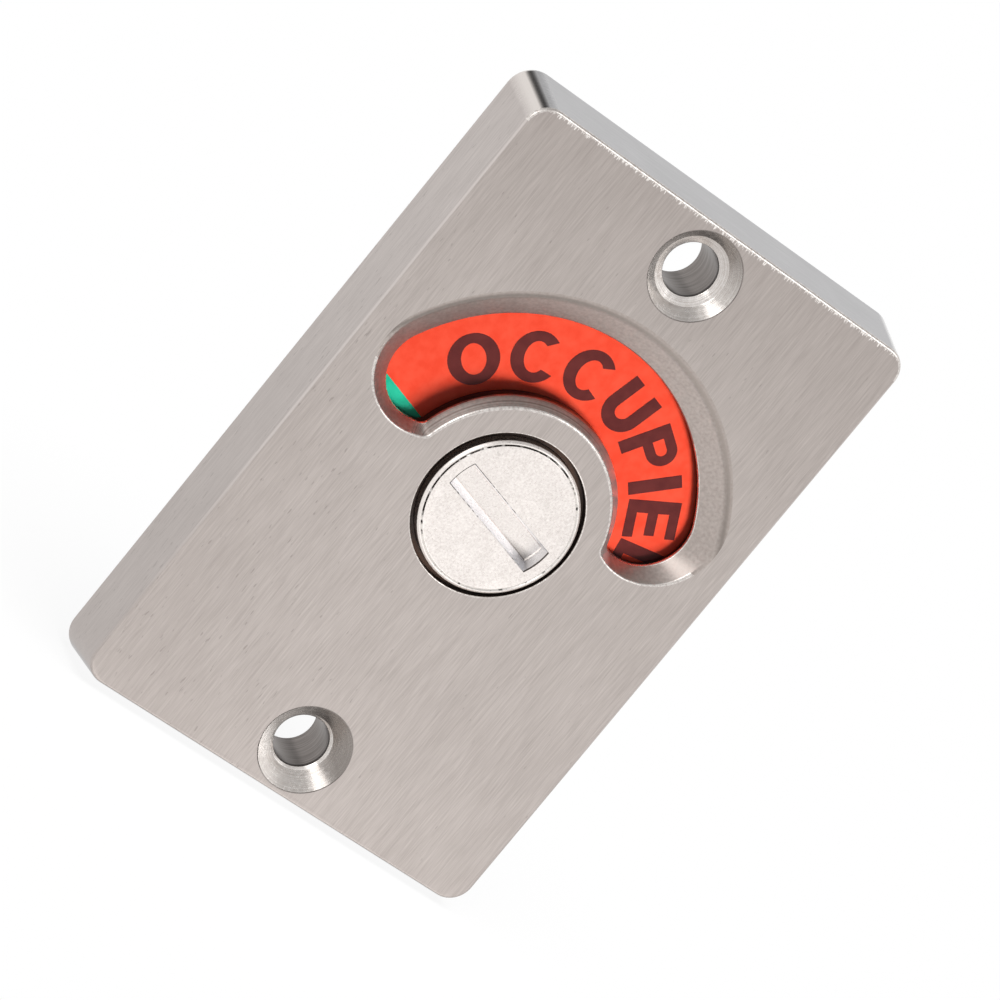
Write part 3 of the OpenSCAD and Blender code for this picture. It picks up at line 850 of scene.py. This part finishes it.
def slot_rings():
    """Rings of the coin slot from its eased rim down the leaning walls to its floor."""
    floor_z = TURN_TOP - SLOT_DEPTH
    floor_r = SLOT_R - SLOT_END_LEAN
    rim_side, rim_end, rim_depth = SLOT_RIM
    foot_side, foot_end, foot_depth = SLOT_FOOT
    steps = ((SLOT_HALF + rim_side, SLOT_R + rim_end, 0.0, TURN_TOP),
             (SLOT_HALF, SLOT_R, 0.0, TURN_TOP - rim_depth),
             (SLOT_FLOOR_HALF, floor_r, SLOT_LEAN, floor_z + foot_depth),
             (SLOT_FLOOR_HALF - foot_side, floor_r - foot_end, SLOT_LEAN, floor_z))
    side = polar(1.0, 90 - SLOT_ANGLE)
    return [[(x + side[0] * lean, y + side[1] * lean, z) for x, y in slot_outline(half, r)]
            for half, r, lean, z in steps]


def rim_rings():
    """Rings of the turn's head from its face over the scored ring and the rim down its side."""
    edge = TURN_R - RIM_EDGE
    score = edge - SCORE_INSET
    profile = [(score - SCORE_HALF - LEAD, TURN_TOP), (score - SCORE_HALF, TURN_TOP),
               (score, TURN_TOP - SCORE_DEPTH), (score + SCORE_HALF, TURN_TOP),
               (edge, TURN_TOP), (TURN_R, TURN_TOP - RIM_EDGE), (TURN_R, LABEL_Z)]
    return hole_rings(softened(profile, RIM_EASE)[1:])


def journal_rings():
    """Rings of the journal with the clip's groove, from the cam to its back."""
    low, high = GROOVE_Z
    profile = [(JOURNAL_R, CAM_Z), (JOURNAL_R, high), (GROOVE_R, high), (GROOVE_R, low), (JOURNAL_R, low),
               (JOURNAL_R, TURN_BACK), (JOURNAL_R - BACK_RING, TURN_BACK)]
    return hole_rings(softened(profile, JOURNAL_EASE))


def coin_turn():
    shell = Shell()
    rim = rim_rings()
    slot = slot_rings()
    drive = [at_height(square_outline(DRIVE_HALF), z) for z in (LABEL_Z, CAM_Z)]
    journal = journal_rings()
    socket = [at_height(square_outline(SOCKET_HALF), z) for z in (TURN_BACK, SOCKET_TOP)]
    shell.cap([rim[0], slot[0]], NICKEL_LOOK)
    shell.strip(rim[:EASED - 1], NICKEL_LOOK)
    # The scored ring carries painted shade
    shell.strip(rim[EASED - 2:2 * EASED + 2], GROOVE_LOOK)
    shell.strip(rim[2 * EASED + 1:], NICKEL_LOOK)
    # The slot's rim is painted dark as shade at its right end and carries a broken painted shade line along
    # the rest
    shell.strip(slot[:2], [SHADE_NICKEL_LOOK] * SLOT_END_STEPS + [GROOVE_LOOK] * (SLOT_END_STEPS + 2))
    shell.strip(slot[1:-1], WALL_LOOK)
    shell.strip(slot[-2:], FLOOR_LOOK)
    shell.cap([slot[-1]], FLOOR_LOOK)
    shell.cap([rim[-1], drive[0]], NICKEL_LOOK)
    shell.strip(drive, NICKEL_LOOK)
    shell.cap([drive[1], journal[0]], NICKEL_LOOK)
    shell.strip(journal, NICKEL_LOOK)
    shell.cap([journal[-1], socket[0]], NICKEL_LOOK)
    # The socket's inside is painted dark as shade
    shell.strip(socket, SHADE_NICKEL_LOOK)
    shell.cap([socket[1]], SHADE_NICKEL_LOOK)
    turn = shell.build("coin_turn_finished", [NICKEL, SLOT_FLOOR, GROOVE, SHADE_NICKEL, SLOT_WALL], TURN_SHARP)
    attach(turn, "turn")
    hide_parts("coin_turn")


# Legend: plain status words in simple block letters, printed on the two labels

LETTER_H = 5.2
STROKE = 1.3
BAR = 1.0
BASE_R = 12.8
LETTER_GAP = 1.0
INK_T = 0.02
# The print sits a little to one side on the sign
PRINT_SHIFT = Vector((0.45, -0.08))
# Red line printed over the split between the labels: inner and outer radius, half width
SPLIT_LINE = (10.25, 19.85, 0.11)
WORD_LOOK, LINE_LOOK = range(2)


def oval(rx, ry, start, end, steps, centre):
    return [(centre[0] + rx * x, centre[1] + ry * y) for x, y in arc((0, 0), 1.0, start, end, steps)]


def letter(name):
    """Width of a letter and its outlines, the outer one first, standing on its baseline."""
    h, s, b = LETTER_H, STROKE, BAR
    mid = h / 2
    if name == "O":
        w = 5.0
        return w, [oval(w / 2, mid, 0, 360, 40, (w / 2, mid))[:-1],
                   oval(w / 2 - s, mid - b, 0, 360, 40, (w / 2, mid))[:-1]]
    if name == "C":
        w, tuck = 4.9, 0.3
        return w - tuck, [oval(w / 2, mid, 40, 320, 36, (w / 2, mid))
                          + oval(w / 2 - s, mid - b, 312, 48, 36, (w / 2, mid))]
    if name == "U":
        w, r = 4.2, 2.1
        return w, [[(0, h)] + arc((r, r), r, 180, 360, 24) + [(w, h), (w - s, h)]
                   + arc((r, r), r - s, 360, 180, 24) + [(s, h)]]
    if name == "P":
        w, r = 4.0, 1.55
        bowl = (w - r, h - r)
        return w, [[(0, 0), (s, 0), (s, h - 2 * r)] + arc(bowl, r, -90, 90, 20) + [(0, h)],
                   [(s, h - 2 * r + b)] + arc(bowl, r - b, -90, 90, 16) + [(s, h - b)]]
    if name == "I":
        return s, [[(0, 0), (s, 0), (s, h), (0, h)]]
    if name == "E":
        w, inner = 3.85, 3.6
        return w, [[(0, 0), (w, 0), (w, b), (s, b), (s, mid - b / 2), (inner, mid - b / 2),
                    (inner, mid + b / 2), (s, mid + b / 2), (s, h - b), (w, h - b), (w, h), (0, h)]]
    if name == "D":
        w, r = 4.4, mid * 0.86
        bowl = (w - r, mid)
        return w, [[(0, 0)] + oval(r, mid, -90, 90, 28, bowl) + [(0, h)],
                   [(s, b)] + oval(r - s, mid - b, -90, 90, 24, bowl) + [(s, h - b)]]
    if name == "V":
        w, f, notch = 4.8, 1.2, 1.55
        return w, [[(w / 2 - f / 2, 0), (w / 2 + f / 2, 0), (w, h), (w - f, h), (w / 2, notch),
                    (f, h), (0, h)]]
    if name == "A":
        w, f, bar_low, peak = 4.8, 1.2, 1.1, 1.1
        bar_high = bar_low + b
        rise = (w / 2 - f / 2) / h
        return w, [[(0, 0), (f, 0), (f + rise * bar_low, bar_low), (w - f - rise * bar_low, bar_low),
                    (w - f, 0), (w, 0), (w / 2 + f / 2, h), (w / 2 - f / 2, h)],
                   [(f + rise * bar_high, bar_high), (w - f - rise * bar_high, bar_high), (w / 2, h - peak)]]
    if name == "N":
        w, left, right = 4.3, 3.2, 2.0
        return w, [[(0, 0), (s, 0), (s, left), (w - s, 0), (w, 0), (w, h), (w - s, h), (w - s, right),
                    (s, h), (0, h)]]
    w = 4.1
    return w, [[((w - s) / 2, 0), ((w + s) / 2, 0), ((w + s) / 2, h - b), (w, h - b), (w, h), (0, h),
                (0, h - b), ((w - s) / 2, h - b)]]


def print_on(shell, loops, look):
    """A thin layer of print on the labels, in the shape of the loops."""
    base = [at_height(loop, LABEL_TOP) for loop in loops]
    top = [at_height(loop, LABEL_TOP + INK_T) for loop in loops]
    shell.cap(top, look)
    shell.cap(base, look)
    for low, high in zip(base, top):
        shell.strip([low, high], look)


def word(shell, text, middle_angle):
    """A word set round the sign, each letter upright on its own radius."""
    letters = [letter(c) for c in text]
    mid_r = BASE_R + LETTER_H / 2
    length = sum(w for w, _ in letters) + LETTER_GAP * (len(text) - 1)
    done = 0.0
    for w, loops in letters:
        out = Vector(polar(1.0, middle_angle + math.degrees((length / 2 - done - w / 2) / mid_r)))
        right = Vector((out.y, -out.x))
        done += w + LETTER_GAP
        placed = []
        for loop in loops:
            spots = [PRINT_SHIFT + right * (x - w / 2) + out * (BASE_R + y) for x, y in loop]
            placed.append([tuple(p) for p in spots])
        print_on(shell, placed, WORD_LOOK)


def legends():
    red, green = Shell(), Shell()
    word(red, "OCCUPIED", 90 - REST_ANGLE)
    word(green, "VACANT", 270 - REST_ANGLE)
    near, far, half = SPLIT_LINE
    for side in (1, -1):
        strip = [(side * near, -half), (side * far, -half), (side * far, half), (side * near, half)]
        print_on(red, [turned(strip, REST_ANGLE)], LINE_LOOK)
    for shell, name, looks, slot in ((red, "engaged_legend", [INK, RED], "red_label"),
                                     (green, "vacant_legend", [GREEN_INK], "green_label")):
        piece = shell.build(name, looks)
        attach(piece, "turn")


face_plate()
coin_turn()
legends()


# Stage: white floor that keeps a soft shadow, white surroundings, soft lamps

FLOOR_HALF = 6.0
# Share of the floor's white that is its own light, so that the rest shows the shadow
FLOOR_GLOW = 0.9
FLOOR_SUN = 3.4
FLOOR_SUN_ANGLE = 50.0
FLOOR_SUN_TILT = 20.0


def floor():
    half, z = FLOOR_HALF, cad_low.z
    mesh = bpy.data.meshes.new("floor")
    corners = [(-half, -half, z), (half, -half, z), (half, half, z), (-half, half, z)]
    mesh.from_pydata(corners, [], [(0, 1, 2, 3)])
    n = material("floor_white")
    glow = n.node("Emission", Color=(1, 1, 1, 1), Strength=1.0).outputs[0]
    matte = n.node("BsdfDiffuse", Color=(0.9, 0.9, 0.9, 1)).outputs[0]
    both = n.node("MixShader", Fac=n.math("MULTIPLY", n.seen(), FLOOR_GLOW))
    n.feed(both.inputs[1], matte)
    n.feed(both.inputs[2], glow)
    n.feed(n.tree.nodes["Material Output"].inputs["Surface"], both.outputs[0])
    n.tree.nodes.remove(n.tree.nodes["Principled BSDF"])
    mesh.materials.append(n.owner)
    piece = bpy.data.objects.new("floor", mesh)
    piece.visible_diffuse = False
    bpy.context.scene.collection.objects.link(piece)
    return piece


def floor_light(ground):
    """Broad light from above on the floor alone, in which the object casts its soft shadow there."""
    data = bpy.data.lights.new("floor_light", "SUN")
    data.energy = FLOOR_SUN
    data.angle = math.radians(FLOOR_SUN_ANGLE)
    piece = bpy.data.objects.new("floor_light", data)
    piece.rotation_euler = (math.radians(FLOOR_SUN_TILT), 0.0, 0.0)
    bpy.context.scene.collection.objects.link(piece)
    lit = bpy.data.collections.new("floor_light_receivers")
    lit.objects.link(ground)
    piece.light_linking.receiver_collection = lit


def surroundings():
    """A white room, softer behind the camera, with a darker ceiling and two dark flags behind the plate."""
    world = bpy.data.worlds.new("studio")
    bpy.context.scene.world = world
    n = Nodes(world)
    toward = n.coords("Generated")
    axes = n.axes(toward)
    room = n.span(axes["Y"], -1.0, 0.2, 0.8, 0.95)
    ceiling = n.span(axes["Z"], 0.68, 0.86, 1.0, 0.6)

    def flag(direction, outer, inner, level):
        """Round patch of the given level, with its outer and inner half angles in degrees."""
        outer, inner = math.cos(math.radians(outer)), math.cos(math.radians(inner))
        return n.span(n.along(toward, direction), outer, inner, 1.0, level)

    # The flags draw the crease and the shade beside it on the plate's upper left corner
    crease = flag((-0.20, 0.775, 0.60), 12, 1, 0.1)
    shade = flag((0.05, 0.795, 0.60), 20, 6, 0.68)
    flags = n.math("MULTIPLY", crease, shade)
    # Matte surfaces get less of the room, so that the key lamp's shadows stay deep
    level = n.span(n.seen(), 0.0, 1.0, 0.12, 1.0)
    strength = n.math("MULTIPLY", n.math("MULTIPLY", room, ceiling), n.math("MULTIPLY", flags, level))
    back = n.tree.nodes["Background"]
    n.feed(back.inputs["Color"], (1.0, 1.0, 1.0, 1.0))
    n.feed(back.inputs["Strength"], strength)


def lamp(name, place, size, power):
    """Soft square lamp, aimed at the turn; place and size are in metres, power in watts."""
    data = bpy.data.lights.new(name, "AREA")
    data.shape = "SQUARE"
    data.size = size
    data.energy = power
    piece = bpy.data.objects.new(name, data)
    piece.location = place
    piece.rotation_euler = (-Vector(place)).to_track_quat("-Z", "Y").to_euler()
    bpy.context.scene.collection.objects.link(piece)
    return piece


def shine_through(light, screen):
    """Let a lamp shine through an object that would block it."""
    screens = bpy.data.collections.new(light.name + "_screens")
    screens.objects.link(screen)
    screens.collection_objects[0].light_linking.link_state = "EXCLUDE"
    light.light_linking.blocker_collection = screens


def camera():
    """The photograph's view: from the upper left, with the plate leaning to the right."""
    aim = Vector((-0.891, -7.8, 1.339)) * MM
    azimuth, elevation, distance, roll = -26.03, 11.398, 531.5 * MM, -39.458
    a, e = math.radians(azimuth), math.radians(elevation)
    back = Vector((math.sin(a) * math.cos(e), -math.cos(a) * math.cos(e), math.sin(e)))
    turn = (-back).to_track_quat("-Z", "Y").to_matrix() @ Matrix.Rotation(math.radians(-roll), 3, "Z")
    data = bpy.data.cameras.new("camera")
    data.lens = 206.76
    data.sensor_width = 36.0
    data.clip_start = 0.01
    piece = bpy.data.objects.new("camera", data)
    piece.matrix_world = Matrix.Translation(aim + back * distance) @ turn.to_4x4()
    bpy.context.scene.collection.objects.link(piece)
    bpy.context.scene.camera = piece


ground = floor()
floor_light(ground)
surroundings()
# Side lamps for the metal's gloss alone, and a main lamp for what is matte: it shines from the right and a
# little from below, where the floor would hide part of it
right = lamp("right", (0.40, -0.55, 0.42), 0.35, 0.8)
left = lamp("left", (-0.60, -0.47, 0.32), 0.35, 0.9)
sheen = lamp("sheen", (0.14, -0.41, -0.33), 0.3, 0.25)
key = lamp("key", (0.37, -0.39, -0.10), 0.2, 4.2)
for light in (right, left, sheen):
    light.visible_diffuse = False
key.visible_glossy = False
for light in (key, sheen):
    shine_through(light, ground)
camera()
bpy.context.scene.view_settings.view_transform = "Standard"
